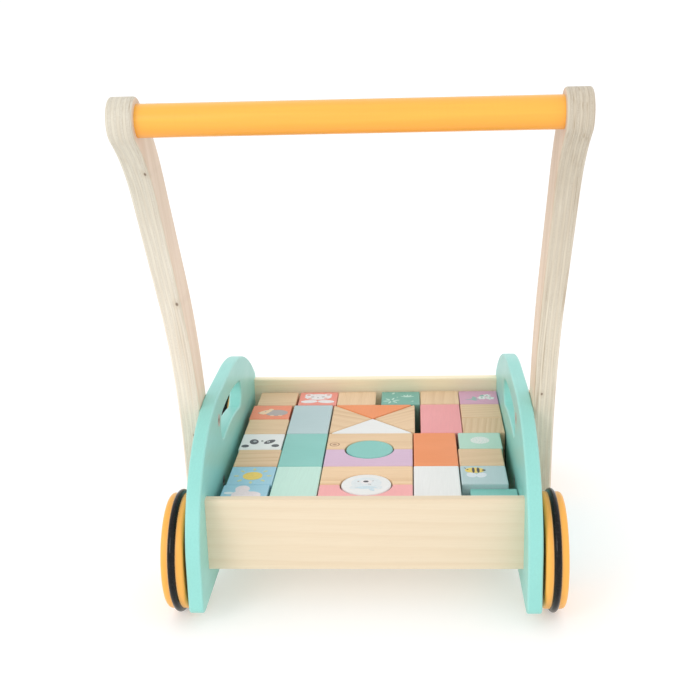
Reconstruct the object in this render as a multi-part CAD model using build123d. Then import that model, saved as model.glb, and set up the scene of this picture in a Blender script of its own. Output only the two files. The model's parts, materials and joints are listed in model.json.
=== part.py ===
from build123d import *

import os

# Wooden push-along baby walker: a tray of building blocks on four wheels, between two side
# panels, with two plywood arms that carry a round push bar.
#
# Axes: X across, +Y from the child's side (the rear) towards the walking direction, +Z up.
# The drawing's Y = 0 is the outer face of the rear board, and Z = 0 is the floor. The finished
# model is slid along Y, so that its origin is the middle of its footprint on the floor.
# Right-hand pieces are drawn, and left-hand ones are their mirror images about X = 0.

# Driving dimensions, millimetres.
BLOCK_PITCH = 40.0
BLOCK_SIZE = 39.6
BLOCK_ROUND = 1.2
PANEL_T = 12.0
ARM_T = 18.0
BOARD_T = 9.0
FLOOR_T = 5.0
TRAY_HALF_W = 128.0
TRAY_LENGTH = 315.0
RIM_Z = 99.5
FLOOR_TOP_Z = 47.0
WHEEL_R = 47.0
WHEEL_T = 18.0
TYRE_CORD_R = 3.0
BAR_R = 11.2

# Side panels, their outlines given as (Y, Z).
PANEL_REAR_Y = -33.0
PANEL_FRONT_Y = 317.0
PANEL_BOTTOM_Z = 13.2
PANEL_TOP_Z = 157.0
REAR_CURVE_CENTRE = (100.0, 54.5)
FRONT_CURVE_START_Y = 170.0
FRONT_CURVE_R = 228.0
PANEL_FRONT_CORNER_R = 10.0
PANEL_FOOT_CORNER_R = 8.0
PANEL_ARRIS_R = 1.6
SLOT_PATH = ((108.0, 123.5), (156.0, 124.6), (203.5, 118.5))
SLOT_H = 25.0

# Tray boards and floor.
BOARD_BOTTOM_Z = 38.2
BOARD_ARRIS_R = 1.8
BOARD_GROOVE = 4.0
PANEL_GROOVE = 3.0

# Handle arms: the centre line starts upright at the foot, as (Y, Z), and leans back in two
# arcs, given as (radius, degrees), with a straight between them. The push bar is at its end.
ARM_FOOT = (91.6, 69.5)
ARM_LOWER_ARC = (363.0, 32.1)
ARM_STRAIGHT = 110.0
ARM_UPPER_ARC = (162.0, 26.3)
ARM_W = 32.0
ARM_ARRIS_R = 2.0

# Fasteners. A wood screw is its shank radius, length and head radius.
ARM_BOLT_PLACES = ((86.5, 135.5), (91.5, 76.0))
ARM_BOLT_R = 3.0
ARM_BOLT_HOLE_R = 3.2
ARM_BOLT_HEAD_R = 5.5
ARM_BOLT_HEAD_T = 3.3
ARM_BOLT_LENGTH = 22.9
WASHER_R = 6.2
WASHER_T = 1.2
COUNTERBORE_R = 6.5
COUNTERBORE_DEPTH = WASHER_T + ARM_BOLT_HEAD_T + 0.3
NUT_HEAD_R = 5.5
NUT_HEAD_T = 1.4
NUT_SLEEVE_R = 4.2
NUT_LENGTH = 11.0
NUT_SOLID_END = 3.0
HEX_KEY_ACROSS_FLATS = 4.0
HEX_KEY_DEPTH = 2.0
BOARD_SCREW_ZS = (60.0, 88.0)
BOARD_SCREW = (1.75, 34.0, 3.8)
BAR_SCREW = (2.5, 48.0, 5.0)

# Wheels: each one turns on its own shoulder bolt, in a threaded insert in the panel.
AXLE_Z = WHEEL_R + TYRE_CORD_R
AXLE_YS = {"rear": 11.0, "front": 268.0}
WHEEL_GAP = 2.0
WHEEL_ARRIS_R = 3.0
TYRE_GROOVE_R = 3.1
BORE_R = 4.07
HUB_RECESS_R = 11.0
HUB_RECESS_DEPTH = 5.0
SHOULDER_R = 4.0
AXLE_HEAD_R = 8.0
AXLE_HEAD_T = 4.0
HEAD_CLEARANCE = 0.3
SPACER_R = 8.0
SPACER_BORE_R = 4.1
SPACER_T = 1.6
INSERT_R = 4.5
INSERT_LENGTH = 8.5
AXLE_THREAD_R = 3.0

# Blocks.
BLOCK_BOTTOM_Z = FLOOR_TOP_Z + 0.3
LONG_BLOCK = 2 * BLOCK_PITCH - 0.4
LOW_BLOCK_H = 35.3
ARCH_R = 22.5
PEG_R = 21.4
TRIANGLE_GAP = 0.4
FIRST_ROW_Y = 39.2

PANEL_OUTER_X = TRAY_HALF_W + PANEL_T
ARM_OUTER_X = PANEL_OUTER_X + ARM_T
WHEEL_INNER_X = PANEL_OUTER_X + WHEEL_GAP
UP = (Align.CENTER, Align.CENTER, Align.MIN)
DOWN = (Align.CENTER, Align.CENTER, Align.MAX)
FROM_CORNER = (Align.MIN, Align.MIN, Align.MIN)


# Placing and rounding


def across(x, place):
    """The location at (x, place) whose local +Z points along +X."""
    return Pos(x, *place) * Rot(0, 90, 0)


def mirrored(solid):
    """The left-hand twin of a right-hand piece."""
    return mirror(solid, about=Plane.YZ)


def end_edges(solid, axis):
    """The edges that lie in a solid's first and last planes along an axis."""
    groups = solid.edges().group_by(axis)
    return groups[0] + groups[-1]


def hexagonal_socket(depth):
    """A hexagonal key socket, cut down from Z = 0."""
    return extrude(RegularPolygon(HEX_KEY_ACROSS_FLATS / 2, 6, major_radius=False), -depth)


# Fasteners, each drawn along Z with its seat at Z = 0


def wood_screw_body(spec):
    """A countersunk screw's whole volume, which is also the hole that it fills."""
    shank_r, length, head_r = spec
    head = Cone(shank_r, head_r, head_r - shank_r, align=DOWN)
    return head + Cylinder(shank_r, length, align=DOWN)


def wood_screw(spec):
    """The screw with its cross-shaped driver recess."""
    head_r = spec[2]
    depth = 0.35 * head_r
    cross = Box(1.1 * head_r, 0.24 * head_r, depth, align=DOWN)
    cross += Box(0.24 * head_r, 1.1 * head_r, depth, align=DOWN)
    return wood_screw_body(spec) - cross


def arm_bolt():
    """A button-head bolt that passes through the washer and arm into its sleeve nut."""
    head = Cylinder(ARM_BOLT_HEAD_R, ARM_BOLT_HEAD_T, align=UP)
    head = fillet(head.edges().group_by(Axis.Z)[-1], 0.8 * ARM_BOLT_HEAD_T)
    head -= Pos(0, 0, ARM_BOLT_HEAD_T) * hexagonal_socket(HEX_KEY_DEPTH)
    return head + Cylinder(ARM_BOLT_R, ARM_BOLT_LENGTH, align=DOWN)


def washer():
    ring = Cylinder(WASHER_R, WASHER_T, align=UP) - Cylinder(ARM_BOLT_HOLE_R, WASHER_T, align=UP)
    return chamfer(ring.edges().group_by(Axis.Z)[-1], 0.2)


def sleeve_nut_body():
    """A flat-headed sleeve nut's whole volume, let into the panel from its inner face."""
    head = Cylinder(NUT_HEAD_R, NUT_HEAD_T, align=UP)
    return head + Cylinder(NUT_SLEEVE_R, NUT_LENGTH, align=UP)


def sleeve_nut():
    """The nut with its key socket inside the tray and its bore open towards the arm."""
    bore = Cylinder(ARM_BOLT_R, NUT_LENGTH - NUT_SOLID_END, align=DOWN)
    nut = sleeve_nut_body() - Pos(0, 0, NUT_LENGTH) * bore
    return nut - Pos(0, 0, HEX_KEY_DEPTH) * hexagonal_socket(HEX_KEY_DEPTH)


def axle_bolt():
    """A shoulder bolt, drawn from the panel's outer face: shoulder out, thread in."""
    shoulder = WHEEL_GAP + WHEEL_T - HUB_RECESS_DEPTH + HEAD_CLEARANCE
    head = Cylinder(AXLE_HEAD_R, AXLE_HEAD_T, align=UP)
    head = fillet(head.edges().group_by(Axis.Z)[-1], 0.6 * AXLE_HEAD_T)
    head -= Pos(0, 0, AXLE_HEAD_T) * hexagonal_socket(HEX_KEY_DEPTH)
    bolt = Cylinder(SHOULDER_R, shoulder, align=UP) + Pos(0, 0, shoulder) * head
    return bolt + Cylinder(AXLE_THREAD_R, INSERT_LENGTH, align=DOWN)


def axle_insert():
    """A threaded sleeve let into the panel's outer face."""
    sleeve = Cylinder(INSERT_R, INSERT_LENGTH, align=DOWN)
    return sleeve - Cylinder(AXLE_THREAD_R, INSERT_LENGTH, align=DOWN)


def wheel_spacer():
    """The plain washer that holds a wheel off the panel."""
    return Cylinder(SPACER_R, SPACER_T, align=UP) - Cylinder(SPACER_BORE_R, SPACER_T, align=UP)


# Wheels, drawn along Z from the inner face


def wheel():
    """A round-edged wooden disc with a groove for its tyre and a recess for the bolt head."""
    disc = Cylinder(WHEEL_R, WHEEL_T, align=UP)
    disc = fillet(end_edges(disc, Axis.Z), WHEEL_ARRIS_R)
    disc -= Pos(0, 0, WHEEL_T / 2) * Torus(WHEEL_R, TYRE_GROOVE_R)
    disc -= Cylinder(BORE_R, WHEEL_T, align=UP)
    disc -= Pos(0, 0, WHEEL_T) * Cylinder(HUB_RECESS_R, HUB_RECESS_DEPTH, align=DOWN)
    return disc


def tyre():
    """The round rubber ring in the wheel's groove."""
    return Pos(0, 0, WHEEL_T / 2) * Torus(WHEEL_R, TYRE_CORD_R)


# Panels, boards and arms


def board_screw_places():
    """The (Y, Z) of the screws through a panel into the ends of both boards."""
    board_ys = (BOARD_T / 2, TRAY_LENGTH - BOARD_T / 2)
    return [(y, z) for y in board_ys for z in BOARD_SCREW_ZS]


def panel_face():
    """The side panel's outline: a quarter ellipse behind, a flat top and one arc in front."""
    ellipse_y, ellipse_z = REAR_CURVE_CENTRE
    radii = (ellipse_y - PANEL_REAR_Y, PANEL_TOP_Z - ellipse_z)
    run = PANEL_FRONT_Y - FRONT_CURVE_START_Y
    turn = 90 - Vector(1, 0).get_angle(Vector(run, (FRONT_CURVE_R**2 - run**2) ** 0.5))
    crown = EllipticalCenterArc(REAR_CURVE_CENTRE, *radii, 90, arc_size=90)
    nose = CenterArc((FRONT_CURVE_START_Y, PANEL_TOP_Z - FRONT_CURVE_R), FRONT_CURVE_R, 90, -turn)
    base = Polyline(
        nose @ 1,
        (PANEL_FRONT_Y, PANEL_BOTTOM_Z),
        (PANEL_REAR_Y, PANEL_BOTTOM_Z),
        crown @ 1,
    )
    face = make_face([crown, Line(crown @ 0, nose @ 0), nose, *base.edges()])
    face = fillet(face.vertices().group_by(Axis.Y)[0], PANEL_FOOT_CORNER_R)
    return fillet(face.vertices().sort_by_distance(nose @ 1)[0], PANEL_FRONT_CORNER_R)


def arm_path():
    """The arm's centre line, from its foot to the push bar."""
    lower = JernArc(ARM_FOOT, (0, 1), *ARM_LOWER_ARC)
    straight = Line(lower @ 1, lower @ 1 + ARM_STRAIGHT * (lower % 1))
    upper = JernArc(straight @ 1, straight % 1, *ARM_UPPER_ARC)
    return Wire([lower.edge(), straight.edge(), upper.edge()])


def bar_centre():
    """The (Y, Z) of the push bar's axis."""
    end = arm_path() @ 1
    return end.X, end.Y


def side_panel():
    """The right-hand panel, with its hand slot, floor groove and fastener holes."""
    slot = SlotArc(ThreePointArc(*SLOT_PATH), SLOT_H)
    outline = Plane.YZ * (panel_face() - slot)
    panel = Pos(TRAY_HALF_W, 0, 0) * extrude(outline, PANEL_T)
    panel = fillet(end_edges(panel, Axis.X), PANEL_ARRIS_R)
    panel -= floor_board()
    for place in ARM_BOLT_PLACES:
        panel -= across(TRAY_HALF_W, place) * sleeve_nut_body()
        panel -= across(TRAY_HALF_W, place) * Cylinder(ARM_BOLT_HOLE_R, PANEL_T, align=UP)
    for y in AXLE_YS.values():
        panel -= across(PANEL_OUTER_X, (y, AXLE_Z)) * Cylinder(INSERT_R, INSERT_LENGTH, align=DOWN)
    for place in board_screw_places():
        panel -= across(PANEL_OUTER_X, place) * wood_screw_body(BOARD_SCREW)
    return panel


def floor_board():
    """The tray's floor, which sits in grooves in the panels and both boards."""
    half_w = TRAY_HALF_W + PANEL_GROOVE
    rear_y = BOARD_T - BOARD_GROOVE
    length = TRAY_LENGTH - 2 * rear_y
    corner = Pos(-half_w, rear_y, FLOOR_TOP_Z - FLOOR_T)
    return corner * Box(2 * half_w, length, FLOOR_T, align=FROM_CORNER)


def tray_board(outer_y, screw_holes):
    """A board across the tray, its low-Y face at outer_y, with round top arrises."""
    corner = Pos(-TRAY_HALF_W, outer_y, BOARD_BOTTOM_Z)
    board = corner * Box(2 * TRAY_HALF_W, BOARD_T, RIM_Z - BOARD_BOTTOM_Z, align=FROM_CORNER)
    top = board.edges().group_by(Axis.Z)[-1]
    board = fillet(top.filter_by(Axis.X), BOARD_ARRIS_R)
    return board - floor_board() - screw_holes


def handle_arm():
    """The right-hand arm, with its holes for two bolts and the push bar's screw."""
    outline = Plane.YZ * SlotArc(arm_path(), ARM_W)
    arm = Pos(PANEL_OUTER_X, 0, 0) * extrude(outline, ARM_T)
    arm = fillet(end_edges(arm, Axis.X), ARM_ARRIS_R)
    for place in ARM_BOLT_PLACES:
        arm -= across(PANEL_OUTER_X, place) * Cylinder(ARM_BOLT_HOLE_R, ARM_T, align=UP)
        arm -= across(ARM_OUTER_X, place) * Cylinder(COUNTERBORE_R, COUNTERBORE_DEPTH, align=DOWN)
    return arm - across(ARM_OUTER_X, bar_centre()) * wood_screw_body(BAR_SCREW)


def handle_bar():
    """The round push bar between the arms, bored for its two screws."""
    bar = across(0, bar_centre()) * Cylinder(BAR_R, 2 * PANEL_OUTER_X)
    hole = across(ARM_OUTER_X, bar_centre()) * wood_screw_body(BAR_SCREW)
    return bar - hole - mirrored(hole)


# Blocks, each drawn about its plan centre and standing on Z = 0


def rounded(solid):
    """A block with all of its edges rounded."""
    return fillet(solid.edges(), BLOCK_ROUND)


def cube(height=BLOCK_SIZE):
    return rounded(Box(BLOCK_SIZE, BLOCK_SIZE, height, align=UP))


def pillar():
    return rounded(Box(BLOCK_SIZE, LONG_BLOCK, BLOCK_SIZE, align=UP))


def bridge(arch_side):
    """A long block with a half-round arch in its side that faces arch_side (+1 or -1) in Y."""
    solid = Box(LONG_BLOCK, BLOCK_SIZE, BLOCK_SIZE, align=UP)
    solid -= Pos(0, arch_side * BLOCK_PITCH / 2, 0) * Cylinder(ARCH_R, BLOCK_SIZE, align=UP)
    return rounded(solid)


def triangle(turn):
    """One quarter of a square cut along its diagonals, turned about the square's centre."""
    half = LONG_BLOCK / 2
    inset = TRIANGLE_GAP / 2**0.5
    corners = ((0, -inset), (half - inset, -half), (inset - half, -half))
    return Rot(0, 0, turn) * rounded(extrude(make_face(Polyline(*corners, close=True)), BLOCK_SIZE))


def peg():
    """A round block that stands in the hole between two bridges."""
    return rounded(Cylinder(PEG_R, BLOCK_SIZE, align=UP))


def row_y(row):
    """The Y of a block row's middle; half rows are for blocks two rows long."""
    return FIRST_ROW_Y + BLOCK_PITCH * row


def block_layout():
    """Each block as its name, its solid, and the X and row of its plan centre."""
    return [
        # Six cubes along the front board.
        ("cube_plain_front_left", cube(), -100.0, 6.01),
        ("cube_animal_coral", cube(), -58.1, 6.0),
        ("cube_plain_front_middle", cube(), -18.0, 6.0),
        ("cube_leaf_green", cube(), 27.4, 6.0),
        ("cube_plain_front_right", cube(), 67.6, 6.02),
        ("cube_flower_lilac", cube(), 107.7, 6.01),
        # Left column, from the second row back to the rear board.
        ("cube_hedgehog_orange", cube(), -103.0, 5.0),
        ("cube_plain_left_upper", cube(), -102.0, 4.0),
        ("cube_panda_white", cube(), -102.0, 3.0),
        ("cube_plain_left_lower", cube(), -101.0, 2.0),
        ("cube_sun_blue", cube(), -101.0, 1.0),
        ("cube_cloud_blue", cube(), -102.5, 0.0),
        # Three long pillars beside the left column.
        ("pillar_grey_blue", pillar(), -61.2, 4.5),
        ("pillar_teal", pillar(), -61.0, 2.5),
        ("pillar_mint", pillar(), -60.8, 0.5),
        # Four triangles that make up a square.
        ("triangle_white", triangle(0), 0.3, 4.5),
        ("triangle_plain_right", triangle(90), 2.0, 4.5),
        ("triangle_orange", triangle(180), 0.3, 4.5),
        ("triangle_plain_left", triangle(270), -0.3, 4.5),
        # Two pairs of bridges, each pair closed around a round peg.
        ("bridge_plain_front", bridge(-1), -0.3, 3.0),
        ("bridge_lilac", bridge(1), -0.3, 2.0),
        ("peg_teal", peg(), 0.0, 2.5),
        ("bridge_plain_rear", bridge(-1), -0.4, 1.0),
        ("bridge_pink", bridge(1), -0.4, 0.0),
        ("peg_bear_white", peg(), -0.2, 0.5),
        # Three long pillars beside the right column.
        ("pillar_pink", pillar(), 67.2, 4.5),
        ("pillar_orange", pillar(), 60.2, 2.5),
        ("pillar_white", pillar(), 60.0, 0.5),
        # Right column, from the second row back to the rear board.
        ("cube_plain_right_upper", cube(), 107.5, 5.0),
        ("cube_plain_right_middle", cube(), 107.3, 4.0),
        ("cube_dots_mint", cube(), 102.0, 3.0),
        ("cube_plain_right_lower", cube(), 100.7, 2.0),
        ("cube_bee_grey_blue", cube(), 100.7, 1.0),
        ("cube_low_teal", cube(LOW_BLOCK_H), 107.5, 0.0),
    ]


def blocks():
    """Every block in its place on the tray's floor."""
    return {
        name: Pos(x, row_y(row), BLOCK_BOTTOM_Z) * solid
        for name, solid, x, row in block_layout()
    }


# Assembly


def frame_pieces():
    """Panels, boards, floor, arms and push bar."""
    holes = Compound([across(PANEL_OUTER_X, p) * wood_screw_body(BOARD_SCREW)
                      for p in board_screw_places()])
    both_sides = Compound([holes, mirrored(holes)])
    panel = side_panel()
    arm = handle_arm()
    return {
        "side_panel_right": panel,
        "side_panel_left": mirrored(panel),
        "rear_board": tray_board(0, both_sides),
        "front_board": tray_board(TRAY_LENGTH - BOARD_T, both_sides),
        "floor_board": floor_board(),
        "handle_arm_right": arm,
        "handle_arm_left": mirrored(arm),
        "handle_bar": handle_bar(),
    }


def fastener_groups():
    """Each kind of fastener as one group of separate solids, right side then left."""
    bolts = ARM_BOLT_PLACES
    washer_seat_x = ARM_OUTER_X - COUNTERBORE_DEPTH
    axles = [(y, AXLE_Z) for y in AXLE_YS.values()]
    right_hand = {
        "arm_bolts": (arm_bolt(), washer_seat_x + WASHER_T, bolts),
        "arm_washers": (washer(), washer_seat_x, bolts),
        "arm_sleeve_nuts": (sleeve_nut(), TRAY_HALF_W, bolts),
        "board_screws": (wood_screw(BOARD_SCREW), PANEL_OUTER_X, board_screw_places()),
        "handle_bar_screws": (wood_screw(BAR_SCREW), ARM_OUTER_X, [bar_centre()]),
        "axle_bolts": (axle_bolt(), PANEL_OUTER_X, axles),
        "axle_inserts": (axle_insert(), PANEL_OUTER_X, axles),
        "wheel_spacers": (wheel_spacer(), PANEL_OUTER_X, axles),
    }
    groups = {}
    for name, (piece, x, places) in right_hand.items():
        placed = [across(x, place) * piece for place in places]
        groups[name] = Compound(placed + [mirrored(solid) for solid in placed])
    return groups


def wheels():
    """The four wheels and their tyres."""
    pieces = {}
    for end, y in AXLE_YS.items():
        place = across(WHEEL_INNER_X, (y, AXLE_Z))
        for kind, solid in (("wheel", wheel()), ("tyre", tyre())):
            pieces[f"{kind}_{end}_right"] = place * solid
            pieces[f"{kind}_{end}_left"] = mirrored(place * solid)
    return pieces


def main():
    pieces = frame_pieces() | fastener_groups() | wheels() | blocks()
    middle_y = Compound(list(pieces.values())).bounding_box().center().Y
    os.makedirs("parts", exist_ok=True)
    for name, piece in pieces.items():
        export_step(Pos(0, -middle_y, 0) * piece, f"parts/{name}.step")
    print(len(pieces), "nodes, slid along Y by", round(-middle_y, 3))


main()
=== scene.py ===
import json
import math

import bmesh
import bpy
from mathutils import Matrix, Vector


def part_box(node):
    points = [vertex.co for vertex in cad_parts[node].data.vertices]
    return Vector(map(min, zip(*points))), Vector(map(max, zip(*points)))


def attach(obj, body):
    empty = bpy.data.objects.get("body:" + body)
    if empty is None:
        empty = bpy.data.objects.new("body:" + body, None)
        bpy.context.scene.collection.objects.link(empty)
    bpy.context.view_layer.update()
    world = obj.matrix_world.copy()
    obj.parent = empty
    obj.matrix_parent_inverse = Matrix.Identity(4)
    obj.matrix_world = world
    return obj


# The looks of a wooden push-along baby walker, in metres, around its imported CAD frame:
# procedural paint, pine, plywood, rubber and steel, and the thin prints on the blocks.

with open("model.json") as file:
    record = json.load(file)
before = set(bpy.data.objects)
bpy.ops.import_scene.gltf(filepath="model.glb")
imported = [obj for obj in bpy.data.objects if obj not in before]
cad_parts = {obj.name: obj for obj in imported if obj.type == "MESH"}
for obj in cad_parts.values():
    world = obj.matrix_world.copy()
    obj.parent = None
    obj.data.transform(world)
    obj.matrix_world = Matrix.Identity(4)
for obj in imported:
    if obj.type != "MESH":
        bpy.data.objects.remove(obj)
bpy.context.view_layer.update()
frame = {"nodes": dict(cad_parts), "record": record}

MM = 0.001
SLOT_OF = {entry["node"]: entry["material_slot"] for entry in frame["record"]["subparts"]}

# ---------------------------------------------------------------- shader helpers


class Shader:
    """A small builder for one procedural material. Its noise is all in object coordinates."""

    def __init__(self, name):
        self.material = bpy.data.materials.new(name)
        self.material.use_nodes = True
        self.nodes = self.material.node_tree.nodes
        self.links = self.material.node_tree.links
        self.bsdf = self.nodes["Principled BSDF"]
        self.place = self.add("ShaderNodeTexCoord").outputs["Object"]

    def add(self, kind, **settings):
        node = self.nodes.new(kind)
        for key, value in settings.items():
            setattr(node, key, value)
        return node

    def feed(self, socket, value):
        """Links an output to a socket, or sets the socket to a plain value."""
        if isinstance(value, bpy.types.NodeSocket):
            self.links.new(value, socket)
        else:
            socket.default_value = value

    def mapped(self, scale=(1, 1, 1), turn=(0, 0, 0), shift=(0, 0, 0), vector=None):
        """A vector, object coordinates unless given, stretched, then turned, then shifted."""
        node = self.add("ShaderNodeMapping")
        self.feed(node.inputs["Vector"], vector or self.place)
        node.inputs["Scale"].default_value = scale
        node.inputs["Rotation"].default_value = turn
        node.inputs["Location"].default_value = shift
        return node.outputs["Vector"]

    def noise(self, vector, scale=1.0, detail=2.0, rough=0.5, distortion=0.0):
        node = self.add("ShaderNodeTexNoise")
        self.feed(node.inputs["Vector"], vector)
        node.inputs["Scale"].default_value = scale
        node.inputs["Detail"].default_value = detail
        node.inputs["Roughness"].default_value = rough
        node.inputs["Distortion"].default_value = distortion
        return node.outputs["Fac"]

    def ramp(self, value, low, high, start=0.0, end=1.0):
        """Maps low..high onto start..end, clamped."""
        node = self.add("ShaderNodeMapRange")
        self.feed(node.inputs["Value"], value)
        node.inputs["From Min"].default_value = low
        node.inputs["From Max"].default_value = high
        node.inputs["To Min"].default_value = start
        node.inputs["To Max"].default_value = end
        return node.outputs["Result"]

    def math(self, operation, a, b=0.0):
        node = self.add("ShaderNodeMath", operation=operation)
        for socket, value in zip(node.inputs, (a, b)):
            self.feed(socket, value)
        return node.outputs["Value"]

    def split(self, vector):
        node = self.add("ShaderNodeSeparateXYZ")
        self.feed(node.inputs["Vector"], vector)
        return node.outputs["X"], node.outputs["Y"], node.outputs["Z"]

    def radius(self, a, b):
        """The length of the vector (a, b)."""
        squares = [self.math("MULTIPLY", value, value) for value in (a, b)]
        return self.math("SQRT", self.math("ADD", *squares))

    def mix(self, amount, a, b, blend="MIX"):
        """Mixes two colours."""
        node = self.add("ShaderNodeMix", data_type="RGBA", blend_type=blend)
        node.clamp_factor = True
        self.feed(node.inputs[0], amount)
        self.feed(node.inputs[6], a if isinstance(a, bpy.types.NodeSocket) else (*a, 1.0))
        self.feed(node.inputs[7], b if isinstance(b, bpy.types.NodeSocket) else (*b, 1.0))
        return node.outputs[2]

    def worn_edge(self, width):
        """1 on the arrises, 0 on the flats, from how far a wider bevel would tilt the surface."""
        wide = self.add("ShaderNodeBevel", samples=4)
        wide.inputs["Radius"].default_value = width
        flat = self.add("ShaderNodeNewGeometry").outputs["Normal"]
        dot = self.add("ShaderNodeVectorMath", operation="DOT_PRODUCT")
        self.feed(dot.inputs[0], wide.outputs["Normal"])
        self.feed(dot.inputs[1], flat)
        return self.ramp(dot.outputs["Value"], 0.995, 0.90)

    def bump(self, height, strength, distance):
        node = self.add("ShaderNodeBump")
        self.feed(node.inputs["Height"], height)
        node.inputs["Strength"].default_value = strength
        node.inputs["Distance"].default_value = distance
        return node.outputs["Normal"]

    def finish(self, color, rough, normal=None, **constants):
        self.feed(self.bsdf.inputs["Base Color"], color)
        self.feed(self.bsdf.inputs["Roughness"], rough)
        if normal is not None:
            self.feed(self.bsdf.inputs["Normal"], normal)
        for key, value in constants.items():
            self.bsdf.inputs[key.replace("_", " ")].default_value = value
        return self.material


def scaled(color, factor):
    return tuple(min(1.0, channel * factor) for channel in color)


def dress(material, *nodes):
    """Gives CAD nodes one material."""
    for name in nodes:
        mesh = frame["nodes"][name].data
        mesh.materials.clear()
        mesh.materials.append(material)


# ---------------------------------------------------------------- materials


def paint(name, color, grain_turn=(0, 0, 0), shift=(0, 0, 0), rough=0.42, edge_width=1.3 * MM):
    """Satin paint on sanded wood: the grain shows faintly through it, and arrises are worn."""
    shader = Shader(name)
    turned = shader.mapped(turn=grain_turn, shift=shift)
    fibre = shader.noise(shader.mapped(scale=(45, 700, 700), vector=turned), detail=3.0, rough=0.6)
    cloud = shader.noise(shader.mapped(scale=(14, 22, 22), vector=turned), detail=2.0)
    speck = shader.noise(turned, scale=2600, detail=1.0)
    tone = shader.mix(shader.ramp(fibre, 0.30, 0.70), scaled(color, 0.96), scaled(color, 1.03))
    tone = shader.mix(shader.ramp(cloud, 0.35, 0.68, 0.0, 0.55), tone, scaled(color, 0.95))
    patchy = shader.ramp(cloud, 0.2, 0.7, 0.30, 0.65)
    worn = shader.math("MULTIPLY", shader.worn_edge(edge_width), patchy)
    pale = tuple(channel * 0.55 + 0.38 for channel in color)
    tone = shader.mix(worn, tone, pale)
    relief = shader.math("ADD", fibre, shader.math("MULTIPLY", speck, 0.35))
    gloss = shader.ramp(cloud, 0.3, 0.7, rough - 0.05, rough + 0.06)
    return shader.finish(tone, gloss, shader.bump(relief, 0.24, 0.06 * MM), Specular_IOR_Level=0.42)


# Where the rings' centre lies beside a piece of solid wood.
PITH_AWAY = (60 * MM, -50 * MM)


def solid_wood(name, early, late, spin, tilt, seed, ring, contrast, streaks=0.3, knots=()):
    """Sanded softwood cut from round growth rings.

    Its grain runs along X, spun about Z, and the rings' centre is tilted about the grain. Both
    are in degrees. ring is a ring's width in metres, and each seed is another place in the plank.
    contrast is the strength of the rings, and streaks that of the fibres between them. knots
    are ring-shaped marks seen from above, each as its middle's (X, Y) and its radius.
    """
    shader = Shader(name)
    spun = shader.mapped(turn=(0, 0, -math.radians(spin)))
    shift = (0.31 * seed, 0.017 * seed, 0.023 * seed)
    pith = (shift[1] + PITH_AWAY[0], shift[2] + PITH_AWAY[1])
    turned = shader.mapped(turn=(math.radians(tilt), 0, 0), shift=shift, vector=spun)
    wander = shader.noise(shader.mapped(scale=(2.2, 20, 20), vector=turned), detail=1.5)
    ripple = shader.noise(shader.mapped(scale=(7, 110, 110), vector=turned), detail=2.0)
    y, z = shader.split(turned)[1:]
    reach = shader.radius(shader.math("SUBTRACT", y, pith[0]), shader.math("SUBTRACT", z, pith[1]))
    reach = shader.math("ADD", reach, shader.ramp(wander, 0.2, 0.8, -0.006, 0.006))
    reach = shader.math("ADD", reach, shader.ramp(ripple, 0.2, 0.8, -0.0008, 0.0008))
    ring_place = shader.math("FRACT", shader.math("DIVIDE", reach, ring))
    rise, fall = shader.ramp(ring_place, 0.30, 0.86), shader.ramp(ring_place, 1.0, 0.88)
    summer = shader.math("MULTIPLY", rise, fall)
    band = shader.noise(shader.mapped(scale=(4, 40, 40), vector=turned), detail=1.0)
    summer = shader.math("MULTIPLY", summer, shader.ramp(band, 0.3, 0.65, 0.35 * contrast, contrast))
    fibre = shader.noise(shader.mapped(scale=(24, 900, 900), vector=turned), detail=3.0, rough=0.65)
    pores = shader.noise(shader.mapped(scale=(70, 1900, 1900), vector=turned), detail=1.0)
    tone = shader.mix(summer, early, late)
    streak = shader.ramp(fibre, 0.42, 0.74, 0.0, streaks)
    tone = shader.mix(streak, tone, scaled(late, 0.88))
    tone = shader.mix(shader.ramp(pores, 0.66, 0.80, 0.0, 0.8 * streaks), tone, scaled(late, 0.60))
    tone = shader.mix(shader.ramp(wander, 0.35, 0.75, 0.0, 0.28), tone, scaled(early, 0.88))
    for place, size in knots:
        x, y = shader.split(shader.place)[:2]
        distance = shader.radius(shader.math("SUBTRACT", x, place[0]),
                                 shader.math("SUBTRACT", y, place[1]))
        uneven = shader.ramp(ripple, 0.2, 0.8, -0.1 * size, 0.1 * size)
        distance = shader.math("ADD", distance, uneven)
        core = shader.ramp(distance, 0.55 * size, 0.30 * size)
        rim = shader.math("MULTIPLY", shader.ramp(distance, 1.05 * size, 0.95 * size),
                          shader.ramp(distance, 0.72 * size, 0.86 * size))
        core, rim = shader.math("MULTIPLY", core, 0.7), shader.math("MULTIPLY", rim, 0.95)
        mark = shader.math("ADD", core, rim)
        tone = shader.mix(mark, tone, (0.34, 0.16, 0.105))
    relief = shader.math("SUBTRACT", shader.math("MULTIPLY", fibre, 0.6), summer)
    gloss = shader.ramp(fibre, 0.3, 0.7, 0.50, 0.60)
    return shader.finish(tone, gloss, shader.bump(relief, 0.25, 0.08 * MM), Specular_IOR_Level=0.35)


PLY_T = 2 * MM
ARM_LEAN = math.radians(-24)
# The heights between which an arm's tint goes from its grip end's to its foot's; the paler foot is
# painted light.
PAINTED_LIGHT_FROM_Z = 0.36
PAINTED_LIGHT_FULL_Z = 0.22
# Pin knots in the arms' edges: X and Z of the middle and radius, in mm.
PIN_KNOTS = (
    (-143.0, 369.0, 1.1),
    (-143.3, 257.0, 1.5),
    (-147.5, 128.0, 0.9),
    (146.5, 166.0, 1.1),
)


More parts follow.
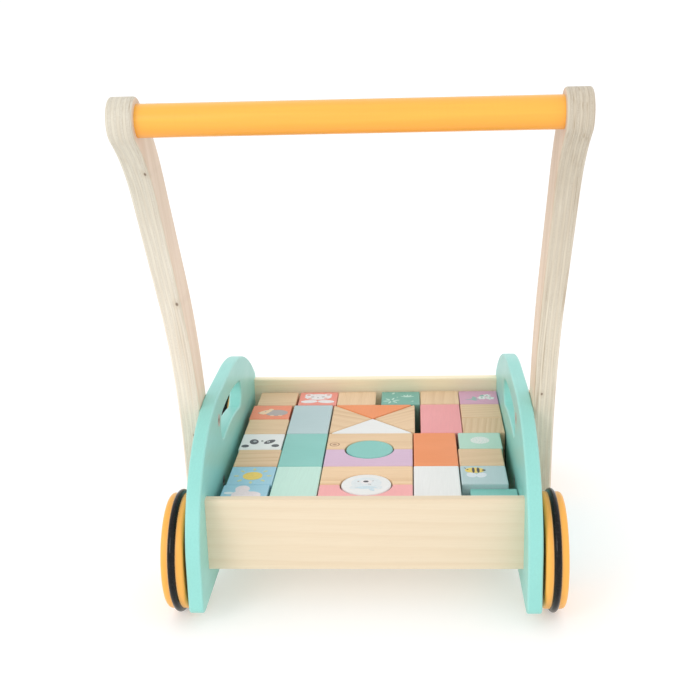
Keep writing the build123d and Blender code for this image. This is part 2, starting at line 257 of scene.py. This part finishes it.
def plywood(name, grip_tint, foot_tint_and_painted_light, stained):
    """Birch plywood under satin lacquer: nine plies across X, long grain and end grain in turn."""
    shader = Shader(name)
    wander = shader.noise(shader.mapped(scale=(250, 12, 12)), detail=3.0)
    x, _, z = shader.split(shader.place)
    inner_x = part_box("handle_arm_right")[0][0]
    depth = shader.math("SUBTRACT", shader.math("ABSOLUTE", x), inner_x)
    depth = shader.math("ADD", depth, shader.ramp(wander, 0.2, 0.8, -0.7 * MM, 0.7 * MM))
    count = shader.math("DIVIDE", depth, PLY_T)
    crosswise = shader.math("GREATER_THAN", shader.math("MODULO", count, 2.0), 1.0)
    glue = shader.math("ABSOLUTE", shader.math("SUBTRACT", shader.math("FRACT", count), 0.5))

    lean = shader.mapped(turn=(ARM_LEAN, 0, 0))
    streak = shader.noise(shader.mapped(scale=(1500, 260, 11), vector=lean), detail=3.0, rough=0.6)
    vein = shader.noise(shader.mapped(scale=(240, 70, 3.5), vector=lean), detail=2.0, distortion=0.4)
    crack = shader.noise(shader.mapped(scale=(950, 90, 10), vector=lean), detail=2.0, rough=0.6)
    patch = shader.noise(shader.mapped(scale=(60, 9, 9)), detail=2.0)
    ends = shader.noise(shader.place, scale=1400, detail=2.0, rough=0.6)
    cloud = shader.noise(shader.mapped(scale=(30, 16, 16)), detail=2.0)

    long_grain = shader.mix(shader.ramp(streak, 0.32, 0.72), (0.84, 0.795, 0.70), (0.73, 0.665, 0.56))
    long_grain = shader.mix(shader.ramp(vein, 0.50, 0.74, 0.0, 0.5), long_grain, (0.64, 0.545, 0.43))
    end_grain = shader.mix(shader.ramp(ends, 0.35, 0.65), (0.80, 0.755, 0.67), (0.69, 0.635, 0.545))
    end_grain = shader.mix(shader.ramp(streak, 0.42, 0.7, 0.0, 0.55), end_grain, (0.66, 0.595, 0.50))
    tone = shader.mix(crosswise, long_grain, end_grain)
    open_glue = shader.ramp(patch, 0.38, 0.62, 0.05, 0.75)
    line = shader.math("MULTIPLY", shader.ramp(glue, 0.36, 0.5), open_glue)
    tone = shader.mix(line, tone, (0.50, 0.42, 0.32))
    soaked = shader.ramp(patch, 0.42, 0.62, 0.0, stained)
    stain = shader.math("MULTIPLY", shader.ramp(crack, 0.53, 0.66), soaked)
    tone = shader.mix(stain, tone, (0.44, 0.34, 0.23))

    normal = shader.add("ShaderNodeNewGeometry").outputs["Normal"]
    sideways = shader.ramp(shader.math("ABSOLUTE", shader.split(normal)[0]), 0.70, 0.97)
    veneer = shader.mix(shader.ramp(streak, 0.30, 0.75), (0.88, 0.715, 0.59), (0.79, 0.62, 0.485))
    veneer = shader.mix(shader.ramp(vein, 0.45, 0.75, 0.0, 0.5), veneer, (0.68, 0.50, 0.36))
    tone = shader.mix(sideways, tone, veneer)
    tone = shader.mix(shader.ramp(cloud, 0.35, 0.7, 0.0, 0.12), tone, (0.58, 0.48, 0.36))

    for knot_x, knot_z, knot_r in PIN_KNOTS:
        off_x = shader.math("SUBTRACT", x, knot_x * MM)
        off_z = shader.math("MULTIPLY", shader.math("SUBTRACT", z, knot_z * MM), 0.7)
        spot = shader.radius(off_x, off_z)
        heart = shader.ramp(spot, knot_r * MM, 0.45 * knot_r * MM, 0.0, 0.85)
        halo = shader.ramp(spot, 3.2 * knot_r * MM, knot_r * MM, 0.0, 0.22)
        tone = shader.mix(heart, tone, (0.09, 0.05, 0.03))
        tone = shader.mix(halo, tone, (0.42, 0.28, 0.17))

    # Painted light: the tint turns paler towards the arm's foot, standing in for light there.
    tint = shader.mix(shader.ramp(z, PAINTED_LIGHT_FROM_Z, PAINTED_LIGHT_FULL_Z), grip_tint, foot_tint_and_painted_light)
    tone = shader.mix(1.0, tone, tint, "MULTIPLY")
    relief = shader.math("SUBTRACT", streak, shader.math("MULTIPLY", line, 0.8))
    gloss = shader.ramp(streak, 0.3, 0.7, 0.46, 0.58)
    return shader.finish(tone, gloss, shader.bump(relief, 0.3, 0.07 * MM), Specular_IOR_Level=0.38)


def lacquered_bar(name, color):
    """Gloss paint on a turned bar: fine turning marks round it, a soft highlight along it, and
    a deeper colour on its lower side, which is painted shade."""
    shader = Shader(name)
    turning = shader.noise(shader.mapped(scale=(520, 40, 40)), detail=2.0, rough=0.6)
    grain = shader.noise(shader.mapped(scale=(9, 260, 260)), detail=2.0)
    tone = shader.mix(shader.ramp(grain, 0.3, 0.7), scaled(color, 0.95), scaled(color, 1.03))
    tone = shader.mix(shader.ramp(turning, 0.55, 0.8, 0.0, 0.15), tone, scaled(color, 0.85))
    height = shader.split(shader.place)[2]
    middle_z = middle("handle_bar")[2]
    # Painted shade: the lower side of the bar is deepened in colour.
    painted_shade_underneath = shader.ramp(height, middle_z + 1.0 * MM, middle_z - 10.0 * MM, 0.0, 0.9)
    tone = shader.mix(painted_shade_underneath, tone, (color[0] * 0.93, color[1] * 0.72, color[2] * 0.25))
    gloss = shader.ramp(turning, 0.3, 0.7, 0.30, 0.38)
    return shader.finish(tone, gloss, shader.bump(turning, 0.2, 0.05 * MM),
                         Specular_IOR_Level=0.5, Coat_Weight=0.35, Coat_Roughness=0.18)


def rubber(name):
    """Smooth black rubber with a little dust in a long soft highlight."""
    shader = Shader(name)
    dust = shader.noise(shader.mapped(scale=(420, 420, 420)), detail=3.0, rough=0.65)
    smear = shader.noise(shader.mapped(scale=(60, 30, 30)), detail=2.0)
    tone = shader.mix(shader.ramp(dust, 0.5, 0.8), (0.005, 0.0045, 0.0045), (0.022, 0.020, 0.018))
    gloss = shader.ramp(smear, 0.3, 0.7, 0.16, 0.27)
    return shader.finish(tone, gloss, shader.bump(dust, 0.12, 0.05 * MM), Specular_IOR_Level=0.22)


def metal(name, bright, dark, rough):
    """Plated metal, lightly brushed, with duller patches."""
    shader = Shader(name)
    brush = shader.noise(shader.mapped(scale=(250, 2400, 900)), detail=2.0)
    patch = shader.noise(shader.mapped(scale=(150, 150, 150)), detail=2.0)
    tone = shader.mix(shader.ramp(brush, 0.3, 0.7), dark, bright)
    tone = shader.mix(shader.ramp(patch, 0.5, 0.8, 0.0, 0.5), tone, scaled(dark, 0.7))
    gloss = shader.ramp(patch, 0.3, 0.7, rough, rough + 0.15)
    return shader.finish(tone, gloss, shader.bump(brush, 0.2, 0.03 * MM), Metallic=1.0)


def ink(name, color):
    """Screen-printed ink: almost even, with the paint's texture under it and pinholes."""
    shader = Shader(name)
    mottle = shader.noise(shader.place, scale=500, detail=3.0, rough=0.6)
    pinhole = shader.noise(shader.place, scale=2300, detail=1.0)
    tone = shader.mix(shader.ramp(mottle, 0.3, 0.7), scaled(color, 0.93), scaled(color, 1.05))
    tone = shader.mix(shader.ramp(pinhole, 0.68, 0.8, 0.0, 0.25), tone, scaled(color, 0.8))
    gloss = shader.ramp(mottle, 0.3, 0.7, 0.42, 0.54)
    return shader.finish(tone, gloss, shader.bump(pinhole, 0.15, 0.03 * MM), Specular_IOR_Level=0.4)


# Base colours of the painted slots, linear, and of the blocks that differ from their slot.
PAINTS = {
    "teal_paint": (0.295, 0.680, 0.620),
    "coral_paint": (0.85, 0.285, 0.225),
    "green_paint": (0.170, 0.420, 0.340),
    "lilac_paint": (0.66, 0.455, 0.61),
    "orange_block_paint": (0.86, 0.270, 0.085),
    "white_paint": (0.81, 0.81, 0.80),
    "blue_paint": (0.32, 0.58, 0.71),
    "grey_blue_paint": (0.46, 0.595, 0.615),
    "teal_block_paint": (0.225, 0.560, 0.505),
    "mint_paint": (0.52, 0.760, 0.665),
    "pink_paint": (0.83, 0.315, 0.325),
}
OWN_PAINTS = {
    "cube_hedgehog_orange": (0.86, 0.250, 0.125),
    "cube_flower_lilac": (0.63, 0.340, 0.470),
    "bridge_pink": (0.90, 0.405, 0.400),
    "cube_dots_mint": (0.44, 0.670, 0.550),
}
BAR_ORANGE = (0.92, 0.445, 0.048)
WHEEL_ORANGE = (0.95, 0.455, 0.078)

# Spring wood and summer wood, of the boards and of the bare blocks.
PINE_EARLY, PINE_LATE = (0.87, 0.730, 0.540), (0.71, 0.51, 0.30)
PLAIN_EARLY, PLAIN_LATE = (0.80, 0.575, 0.365), (0.585, 0.348, 0.165)
BOARD_RING, BOARD_CONTRAST, BOARD_STREAKS = 7.0 * MM, 0.26, 0.13
PLAIN_STREAKS = 0.26

# The boards' tones are painted light and shade on one pine: the front board is painted paler and
# the rear board darker. The arms' tones differ left from right. An arm has a tint for its grip end,
# a paler one for its foot, which is painted light, and the strength of its stains.
BOARD_PAINTED_LIGHT = {"rear_board": 0.92, "front_board": 1.22, "floor_board": 1.0}
ARM_TINTS_AND_PAINTED_LIGHT = {
    "left": ((0.85, 0.85, 0.82), (1.06, 1.04, 1.02), 0.45),
    "right": ((0.76, 0.725, 0.67), (0.95, 0.92, 0.87), 0.85),
}

# Each bare block's grain: spin and tilt in degrees, ring width in mm, the strength of its rings
# and its tone.
BARE_GRAIN = {
    "cube_plain_front_left": (4, 20, 4.4, 0.37, 0.97),
    "cube_plain_front_middle": (89, 10, 4.2, 0.34, 1.04),
    "cube_plain_front_right": (86, 40, 4.6, 0.37, 1.0),
    "cube_plain_left_upper": (-3, 40, 5.5, 0.27, 1.0),
    "cube_plain_left_lower": (2, 5, 4.4, 0.51, 0.97),
    "cube_plain_right_upper": (3, 65, 4.0, 0.41, 0.96),
    "cube_plain_right_middle": (84, 35, 3.6, 0.44, 0.92),
    "cube_plain_right_lower": (10, 15, 6.0, 0.27, 0.94),
    "triangle_plain_left": (-28, 30, 4.2, 0.51, 1.02),
    "triangle_plain_right": (33, 50, 4.0, 0.51, 1.02),
    "bridge_plain_front": (1, 25, 4.6, 0.44, 1.03),
    "bridge_plain_rear": (-1, 50, 4.4, 0.41, 1.08),
}
# The mark on one bridge: in from its left end, back from its middle, and radius.
MARKED_BRIDGE = "bridge_plain_front"
MARK_IN, MARK_BACK, MARK_R = 7.2 * MM, 9.0 * MM, 4.6 * MM


def middle(name):
    low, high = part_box(name)
    return [(a + b) / 2 for a, b in zip(low, high)]


def dress_bare_blocks():
    """Every bare block has its own piece of wood."""
    for index, (name, (spin, tilt, ring, contrast, tone)) in enumerate(BARE_GRAIN.items()):
        knots = ()
        if name == MARKED_BRIDGE:
            place = (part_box(name)[0][0] + MARK_IN, middle(name)[1] - MARK_BACK)
            knots = ((place, MARK_R),)
        early, late = scaled(PLAIN_EARLY, tone), scaled(PLAIN_LATE, tone)
        wood = solid_wood(f"wood_{name}", early, late, spin, tilt, index, ring * MM, contrast,
                          PLAIN_STREAKS, knots)
        dress(wood, name)


def dress_painted_blocks():
    """Every painted block has its slot's colour over its own grain."""
    for index, name in enumerate(sorted(SLOT_OF)):
        is_block = name.split("_")[0] in ("cube", "pillar", "bridge", "peg", "triangle")
        if not is_block or name in BARE_GRAIN:
            continue
        color = OWN_PAINTS.get(name, PAINTS[SLOT_OF[name]])
        turn = (0, 0, math.radians(90 * (index % 2) + 3))
        dress(paint(f"paint_{name}", color, turn, (0.21 * index, 0.13 * index, 0.0)), name)


def dress_frame():
    """Panels, boards, arms, bar, wheels and fasteners."""
    along_y = (0, 0, math.radians(90))
    panel_teal = paint("panel_teal", PAINTS["teal_paint"], along_y, rough=0.36, edge_width=2.0 * MM)
    dress(panel_teal, "side_panel_left", "side_panel_right")
    # Each board's pine is scaled by its painted light and shade factor.
    for seed, (name, tone) in enumerate(BOARD_PAINTED_LIGHT.items()):
        early, late = scaled(PINE_EARLY, tone), scaled(PINE_LATE, tone)
        tilt = 12 + 9 * seed
        pine = solid_wood(f"pine_{name}", early, late, 0, tilt, seed, BOARD_RING, BOARD_CONTRAST,
                          BOARD_STREAKS)
        dress(pine, name)
    for side, tints in ARM_TINTS_AND_PAINTED_LIGHT.items():
        dress(plywood(f"birch_ply_{side}", *tints), f"handle_arm_{side}")
    dress(lacquered_bar("bar_orange", BAR_ORANGE), "handle_bar")
    wheel_names = [name for name in SLOT_OF if name.startswith("wheel_") and name != "wheel_spacers"]
    wheel_paint = paint("wheel_orange", WHEEL_ORANGE, (0, math.radians(90), 0), rough=0.34)
    dress(wheel_paint, *wheel_names)
    dress(rubber("black_rubber"), *(name for name in SLOT_OF if name.startswith("tyre_")))
    steel = metal("zinc_steel", (0.66, 0.66, 0.64), (0.50, 0.50, 0.50), 0.28)
    dress(steel, *(name for name, slot in SLOT_OF.items() if slot == "steel"))
    dress(metal("plain_brass", (0.80, 0.60, 0.30), (0.62, 0.44, 0.20), 0.3), "axle_inserts")


# ---------------------------------------------------------------- prints on the blocks

# How far a plate reaches into its block, how much a level adds to its height, and how much
# each outline in it adds, so that no two tops lie in one plane.
PRINT_SUNK = 0.06 * MM
PRINT_STEP = 0.09 * MM
PRINT_STAGGER = 0.006 * MM
OUTLINE_POINTS = 40
LEAF_FULLNESS = 0.8


def oval(u, v, half_u, half_v, turn=0.0):
    """An ellipse's outline about (u, v), in mm, turned in degrees."""
    cos, sin = math.cos(math.radians(turn)), math.sin(math.radians(turn))
    outline = []
    for step in range(OUTLINE_POINTS):
        angle = 2 * math.pi * step / OUTLINE_POINTS
        a, b = half_u * math.cos(angle), half_v * math.sin(angle)
        outline.append((u + a * cos - b * sin, v + a * sin + b * cos))
    return outline


def leaf(u, v, length, width, turn):
    """A pointed leaf from (u, v), in mm, growing in the direction of turn."""
    cos, sin = math.cos(math.radians(turn)), math.sin(math.radians(turn))
    half = OUTLINE_POINTS // 2
    steps = [i / half for i in range(half + 1)]
    rim = [(length * s, width / 2 * math.sin(math.pi * s) ** LEAF_FULLNESS) for s in steps]
    loop = rim + [(a, -b) for a, b in rim[-2:0:-1]]
    return [(u + a * cos - b * sin, v + a * sin + b * cos) for a, b in loop]


def scalloped(u, v, radius, lobes, depth):
    """A disc with a wavy rim."""
    outline = []
    count = 3 * OUTLINE_POINTS
    for step in range(count):
        angle = 2 * math.pi * step / count
        reach = radius + depth * math.cos(lobes * angle)
        outline.append((u + reach * math.cos(angle), v + reach * math.sin(angle)))
    return outline


def spray(u, v, count, length, width, start=0.0, inner=0.0):
    """Leaves that point away from (u, v) all round."""
    leaves = []
    for step in range(count):
        turn = start + 360 * step / count
        out = math.radians(turn)
        leaves.append(leaf(u + inner * math.cos(out), v + inner * math.sin(out), length, width, turn))
    return leaves


def dots(u, v, count, ring, size):
    """Small discs on a circle about (u, v)."""
    angles = [2 * math.pi * step / count for step in range(count)]
    return [oval(u + ring * math.cos(a), v + ring * math.sin(a), size, size) for a in angles]


def printed(block, part, material, level, outlines):
    """Thin closed plates of ink on a block's top; a higher level lies over a lower one."""
    low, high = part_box(block)
    centre = middle(block)
    mesh = bmesh.new()
    bottom = high[2] - PRINT_SUNK
    for index, outline in enumerate(outlines):
        top = high[2] + level * PRINT_STEP + index * PRINT_STAGGER
        points = [(centre[0] + u * MM, centre[1] + v * MM) for u, v in outline]
        lower = [mesh.verts.new((x, y, bottom)) for x, y in points]
        upper = [mesh.verts.new((x, y, top)) for x, y in points]
        mesh.faces.new(list(reversed(lower)))
        mesh.faces.new(upper)
        for i in range(len(points)):
            j = (i + 1) % len(points)
            mesh.faces.new((lower[i], lower[j], upper[j], upper[i]))
    bmesh.ops.recalc_face_normals(mesh, faces=mesh.faces)
    data = bpy.data.meshes.new(f"print_{block}_{part}")
    mesh.to_mesh(data)
    mesh.free()
    data.materials.append(material)
    piece = bpy.data.objects.new(data.name, data)
    bpy.context.scene.collection.objects.link(piece)
    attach(piece, block)


# Ink colours, linear.
INKS = {
    "white": (0.82, 0.79, 0.79),
    "blush": (0.86, 0.62, 0.60),
    "coral": (0.80, 0.33, 0.27),
    "pale_mint": (0.52, 0.72, 0.62),
    "deep_green": (0.16, 0.36, 0.30),
    "stem_green": (0.27, 0.46, 0.41),
    "cream": (0.86, 0.61, 0.40),
    "warm_grey": (0.44, 0.38, 0.36),
    "charcoal": (0.055, 0.052, 0.058),
    "slate": (0.085, 0.088, 0.10),
    "yellow": (0.82, 0.60, 0.12),
    "pale_yellow": (0.60, 0.62, 0.33),
    "cloud_pink": (0.80, 0.70, 0.72),
    "pale_blue": (0.60, 0.72, 0.78),
    "ice": (0.72, 0.77, 0.79),
    "wing": (0.70, 0.74, 0.79),
    "petal": (0.74, 0.76, 0.73),
}


def print_coral_animal(inks):
    block = "cube_animal_coral"
    ears = [oval(-9.8, 10.0, 4.6, 4.2), oval(9.2, 10.2, 4.6, 4.2)]
    paws = [oval(-8.6, -9.4, 8.6, 4.4, 6), oval(8.8, -9.8, 8.6, 4.4, -6)]
    printed(block, "head", inks["white"], 1, [oval(-0.4, 4.8, 14.0, 8.8), *ears, *paws])
    inner = [oval(-10.6, 10.6, 2.0, 1.7), oval(10.0, 10.8, 2.0, 1.7)]
    cheeks = [oval(-8.6, 0.6, 2.0, 1.2), oval(7.6, 0.6, 2.0, 1.2), oval(0, -6.6, 1.2, 2.2)]
    printed(block, "blush", inks["coral"], 2, inner + cheeks)
    features = [oval(-6.2, 4.6, 1.7, 0.9), oval(4.9, 4.6, 1.7, 0.9), oval(-0.5, 2.2, 1.0, 0.7)]
    printed(block, "face", inks["warm_grey"], 3, features)


def print_green_leaves(inks):
    block = "cube_leaf_green"
    flower = spray(-9.4, -8.6, 6, 7.4, 2.2, 12, 1.6)
    sprig = [leaf(7.0, 1.8, 7.8, 1.9, turn) for turn in (24, 57, 90, 123, 156)]
    rest = [
        leaf(-8.9, 11.2, 5.4, 2.5, 62),
        leaf(10.6, -11.5, 3.6, 1.7, 22),
        oval(-3.4, 1.7, 0.8, 0.8),
    ]
    printed(block, "leaves", inks["pale_mint"], 1, flower + sprig + rest)
    printed(block, "centres", inks["deep_green"], 2, [oval(-9.4, -8.6, 1.2, 1.2)])


def print_lilac_flower(inks):
    block = "cube_flower_lilac"
    stem = [
        leaf(-14.2, -6.6, 16.5, 1.7, 1.5),
        leaf(-9.0, -6.4, 8.4, 3.0, 28),
        leaf(-8.6, -6.6, 7.8, 2.8, -26),
    ]
    leaves = [leaf(0.8, 1.6, 8.4, 4.2, 42), leaf(-3.6, -4.6, 7.0, 3.6, 108)]
    printed(block, "stem", inks["stem_green"], 1, stem + leaves)
    blooms = [
        *spray(3.2, -2.4, 6, 5.0, 3.4, 0),
        *spray(11.6, -3.4, 6, 4.8, 3.3, 24),
        *spray(8.8, 4.6, 5, 4.2, 2.9, 10),
    ]
    printed(block, "blooms", inks["petal"], 2, blooms)
    hearts = [oval(3.2, -2.4, 1.2, 1.2), oval(11.6, -3.4, 1.2, 1.2), oval(8.8, 4.6, 1.0, 1.0)]
    printed(block, "hearts", inks["stem_green"], 3, hearts)


def print_orange_hedgehog(inks):
    block = "cube_hedgehog_orange"
    printed(block, "back", inks["warm_grey"], 1, [oval(6.0, -2.4, 11.4, 8.6)])
    face = [
        (-12.4, -3.2), (-11.6, -1.6), (-9.4, 1.8), (-6.2, 4.6), (-2.4, 6.0), (1.4, 6.4),
        (0.6, 3.0), (-1.4, -1.6), (-3.8, -5.6), (-6.6, -7.4), (-9.8, -5.8),
    ]
    printed(block, "face", inks["cream"], 2, [face, oval(-0.2, 7.0, 2.4, 2.2)])
    feet = [oval(2.4, -10.6, 2.2, 1.0), oval(10.6, -10.4, 2.2, 1.0)]
    printed(block, "feet", inks["cream"], 2, feet)
    features = [oval(-5.4, 0.8, 0.7, 0.8), oval(-12.0, -2.6, 0.8, 0.7)]
    printed(block, "features", inks["warm_grey"], 3, features)


def print_white_panda(inks):
    block = "cube_panda_white"
    patches = [oval(-7.2, -0.9, 4.2, 6.4, 10), oval(7.4, -1.1, 6.4, 3.6, 48)]
    ears = [oval(-14.3, -11.6, 3.6, 3.4), oval(13.8, -10.8, 3.6, 3.4)]
    printed(block, "patches", inks["slate"], 1, [*patches, *ears])
    printed(block, "eyes", inks["ice"], 2, [oval(-6.6, -0.2, 1.3, 1.6), oval(6.4, -1.6, 1.4, 1.5)])
    pupils = [oval(-6.6, -0.5, 0.6, 0.8), oval(6.4, -1.9, 0.6, 0.8)]
    printed(block, "nose", inks["charcoal"], 3, [oval(0.2, 0.8, 1.1, 0.9), *pupils])


def print_white_bear(inks):
    block = "peg_bear_white"
    ears = [oval(-10.4, -6.4, 3.6, 3.6), oval(10.4, -6.4, 3.6, 3.6)]
    printed(block, "head", inks["ice"], 1, [oval(0, 3.0, 13.0, 11.0), *ears])
    scarf = [leaf(-9.5, -7.2, 19.0, 5.4, 2), leaf(3.0, -7.4, 7.6, 4.0, -58)]
    printed(block, "scarf", inks["pale_blue"], 2, scarf)
    printed(block, "muzzle", inks["white"], 2, [oval(-0.2, 5.0, 5.0, 4.0)])
    printed(block, "nose", inks["charcoal"], 3, [oval(-0.4, 5.4, 2.3, 1.8)])
    eyes = [oval(-7.0, 5.6, 0.8, 0.8), oval(5.6, 6.8, 0.6, 0.6), oval(2.8, -0.4, 1.5, 0.35, -20)]
    printed(block, "eyes", inks["warm_grey"], 3, eyes)


def print_blue_sun(inks):
    block = "cube_sun_blue"
    printed(block, "sun", inks["yellow"], 1, [oval(1, -1.4, 8.6, 8.6)])
    printed(block, "rays", inks["pale_yellow"], 1, spray(1, -1.4, 8, 5.2, 2.8, 0, 11.6))


def print_blue_cloud(inks):
    block = "cube_cloud_blue"
    lobes = [oval(-2.4, 10.6, 6.2, 7.2), oval(6.2, -1.6, 8.4, 7.2), oval(-1.6, -1.4, 8.8, 9.4)]
    printed(block, "cloud", inks["cloud_pink"], 1, lobes)
    printed(block, "wisp", inks["ice"], 1, [oval(-13.0, 2.6, 4.2, 2.4), oval(-14.6, -9.0, 3.4, 2.0)])


def print_mint_disc(inks):
    block = "cube_dots_mint"
    printed(block, "disc", inks["petal"], 1, [scalloped(0, 0, 8.6, 18, 0.5)])
    rings = dots(0, 0, 14, 6.4, 0.55) + dots(0, 0, 7, 3.4, 0.5)
    printed(block, "dots", inks["pale_mint"], 2, rings)


def print_grey_bee(inks):
    block = "cube_bee_grey_blue"
    printed(block, "body", inks["yellow"], 1, [oval(-7.4, 9.2, 8.4, 5.8)])
    stripes = [oval(-8.6, 9.2, 1.2, 5.8), oval(-4.4, 9.2, 1.3, 5.5), leaf(-1.4, 9.2, 3.6, 3.0, 0)]
    stripes += [oval(-13.6, 10.4, 0.8, 0.8), leaf(-14.6, 12.6, 3.0, 0.7, 128)]
    printed(block, "stripes", inks["charcoal"], 2, stripes)
    wings = [oval(-10.6, -1.0, 4.2, 5.4, 20), oval(-2.0, -1.6, 4.2, 5.4, -24)]
    printed(block, "wings", inks["wing"], 1, wings)


def print_blocks():
    inks = {name: ink(f"ink_{name}", color) for name, color in INKS.items()}
    print_coral_animal(inks)
    print_green_leaves(inks)
    print_lilac_flower(inks)
    print_orange_hedgehog(inks)
    print_white_panda(inks)
    print_white_bear(inks)
    print_blue_sun(inks)
    print_blue_cloud(inks)
    print_mint_disc(inks)
    print_grey_bee(inks)


# ---------------------------------------------------------------- stage

# The camera's place, its turns in radians, its lens and its sensor.
VIEW_PLACE = (0.0405, -0.940623, 0.4772)
VIEW_YAW = -0.058
VIEW_PITCH = 0.296
VIEW_ROLL = -0.027
LENS_MM = 58.14
SENSOR_MM = 36.0

# The world's strength from the sides and from straight above, and how high up it starts to fade.
WORLD_SIDE = 1.05
WORLD_OVERHEAD = 1.0
WORLD_FADE_FROM = 0.25

FLOOR_SIZE = 60
FLOOR_GLOW = 0.34
FLOOR_TONES = ((0.715, 0.715, 0.715), (0.725, 0.725, 0.725))
PURE_WHITE = (1.0, 1.0, 1.0, 1.0)

KEY_PLACE = (-1.2, -1.7, 1.2)
KEY_TARGET = (0, 0, 0.15)
KEY_SIZE = 0.9
KEY_WATTS = 10


def make_camera():
    """The photograph's view: from behind the push bar, looking slightly down."""
    level = Vector((math.cos(VIEW_YAW), -math.sin(VIEW_YAW), 0))
    ahead = Vector((
        math.sin(VIEW_YAW) * math.cos(VIEW_PITCH),
        math.cos(VIEW_YAW) * math.cos(VIEW_PITCH),
        -math.sin(VIEW_PITCH),
    ))
    above = level.cross(ahead)
    right = level * math.cos(VIEW_ROLL) + above * math.sin(VIEW_ROLL)
    up = above * math.cos(VIEW_ROLL) - level * math.sin(VIEW_ROLL)
    data = bpy.data.cameras.new("camera")
    data.lens = LENS_MM
    data.sensor_width = SENSOR_MM
    camera = bpy.data.objects.new("camera", data)
    axes = Matrix((right, up, -ahead)).transposed().to_4x4()
    camera.matrix_world = Matrix.Translation(VIEW_PLACE) @ axes
    bpy.context.scene.collection.objects.link(camera)
    bpy.context.scene.camera = camera


def make_floor():
    """A plain white floor that fades into the studio's white."""
    bpy.ops.mesh.primitive_plane_add(size=FLOOR_SIZE)
    floor = bpy.context.object
    floor.name = "floor"
    shader = Shader("floor_white")
    cloud = shader.noise(shader.mapped(), 1.5)
    color = shader.mix(shader.ramp(cloud, 0.3, 0.7), *FLOOR_TONES)
    floor.data.materials.append(shader.finish(
        color, 0.8, Specular_IOR_Level=0.2,
        Emission_Color=PURE_WHITE, Emission_Strength=FLOOR_GLOW,
    ))


def make_key_light():
    """One large soft light, from the left and above, behind the camera."""
    data = bpy.data.lights.new("key", "AREA")
    data.shape = "RECTANGLE"
    data.size = KEY_SIZE
    data.size_y = KEY_SIZE
    data.energy = KEY_WATTS
    light = bpy.data.objects.new("key", data)
    aim = Vector(KEY_TARGET) - Vector(KEY_PLACE)
    light.location = KEY_PLACE
    light.rotation_euler = aim.to_track_quat("-Z", "Y").to_euler()
    bpy.context.scene.collection.objects.link(light)


def make_world():
    """White light from all round, a little weaker from overhead."""
    world = bpy.data.worlds.new("studio")
    world.use_nodes = True
    nodes, links = world.node_tree.nodes, world.node_tree.links
    height = nodes.new("ShaderNodeSeparateXYZ")
    links.new(nodes.new("ShaderNodeTexCoord").outputs["Generated"], height.inputs["Vector"])
    fade = nodes.new("ShaderNodeMapRange")
    links.new(height.outputs["Z"], fade.inputs["Value"])
    fade.inputs["From Min"].default_value = WORLD_FADE_FROM
    fade.inputs["To Min"].default_value = WORLD_SIDE
    fade.inputs["To Max"].default_value = WORLD_OVERHEAD
    links.new(fade.outputs["Result"], nodes["Background"].inputs["Strength"])
    nodes["Background"].inputs["Color"].default_value = PURE_WHITE
    bpy.context.scene.world = world


def make_stage():
    bpy.context.scene.view_settings.view_transform = "Standard"
    make_camera()
    make_floor()
    make_world()
    make_key_light()


dress_frame()
dress_painted_blocks()
dress_bare_blocks()
print_blocks()
make_stage()
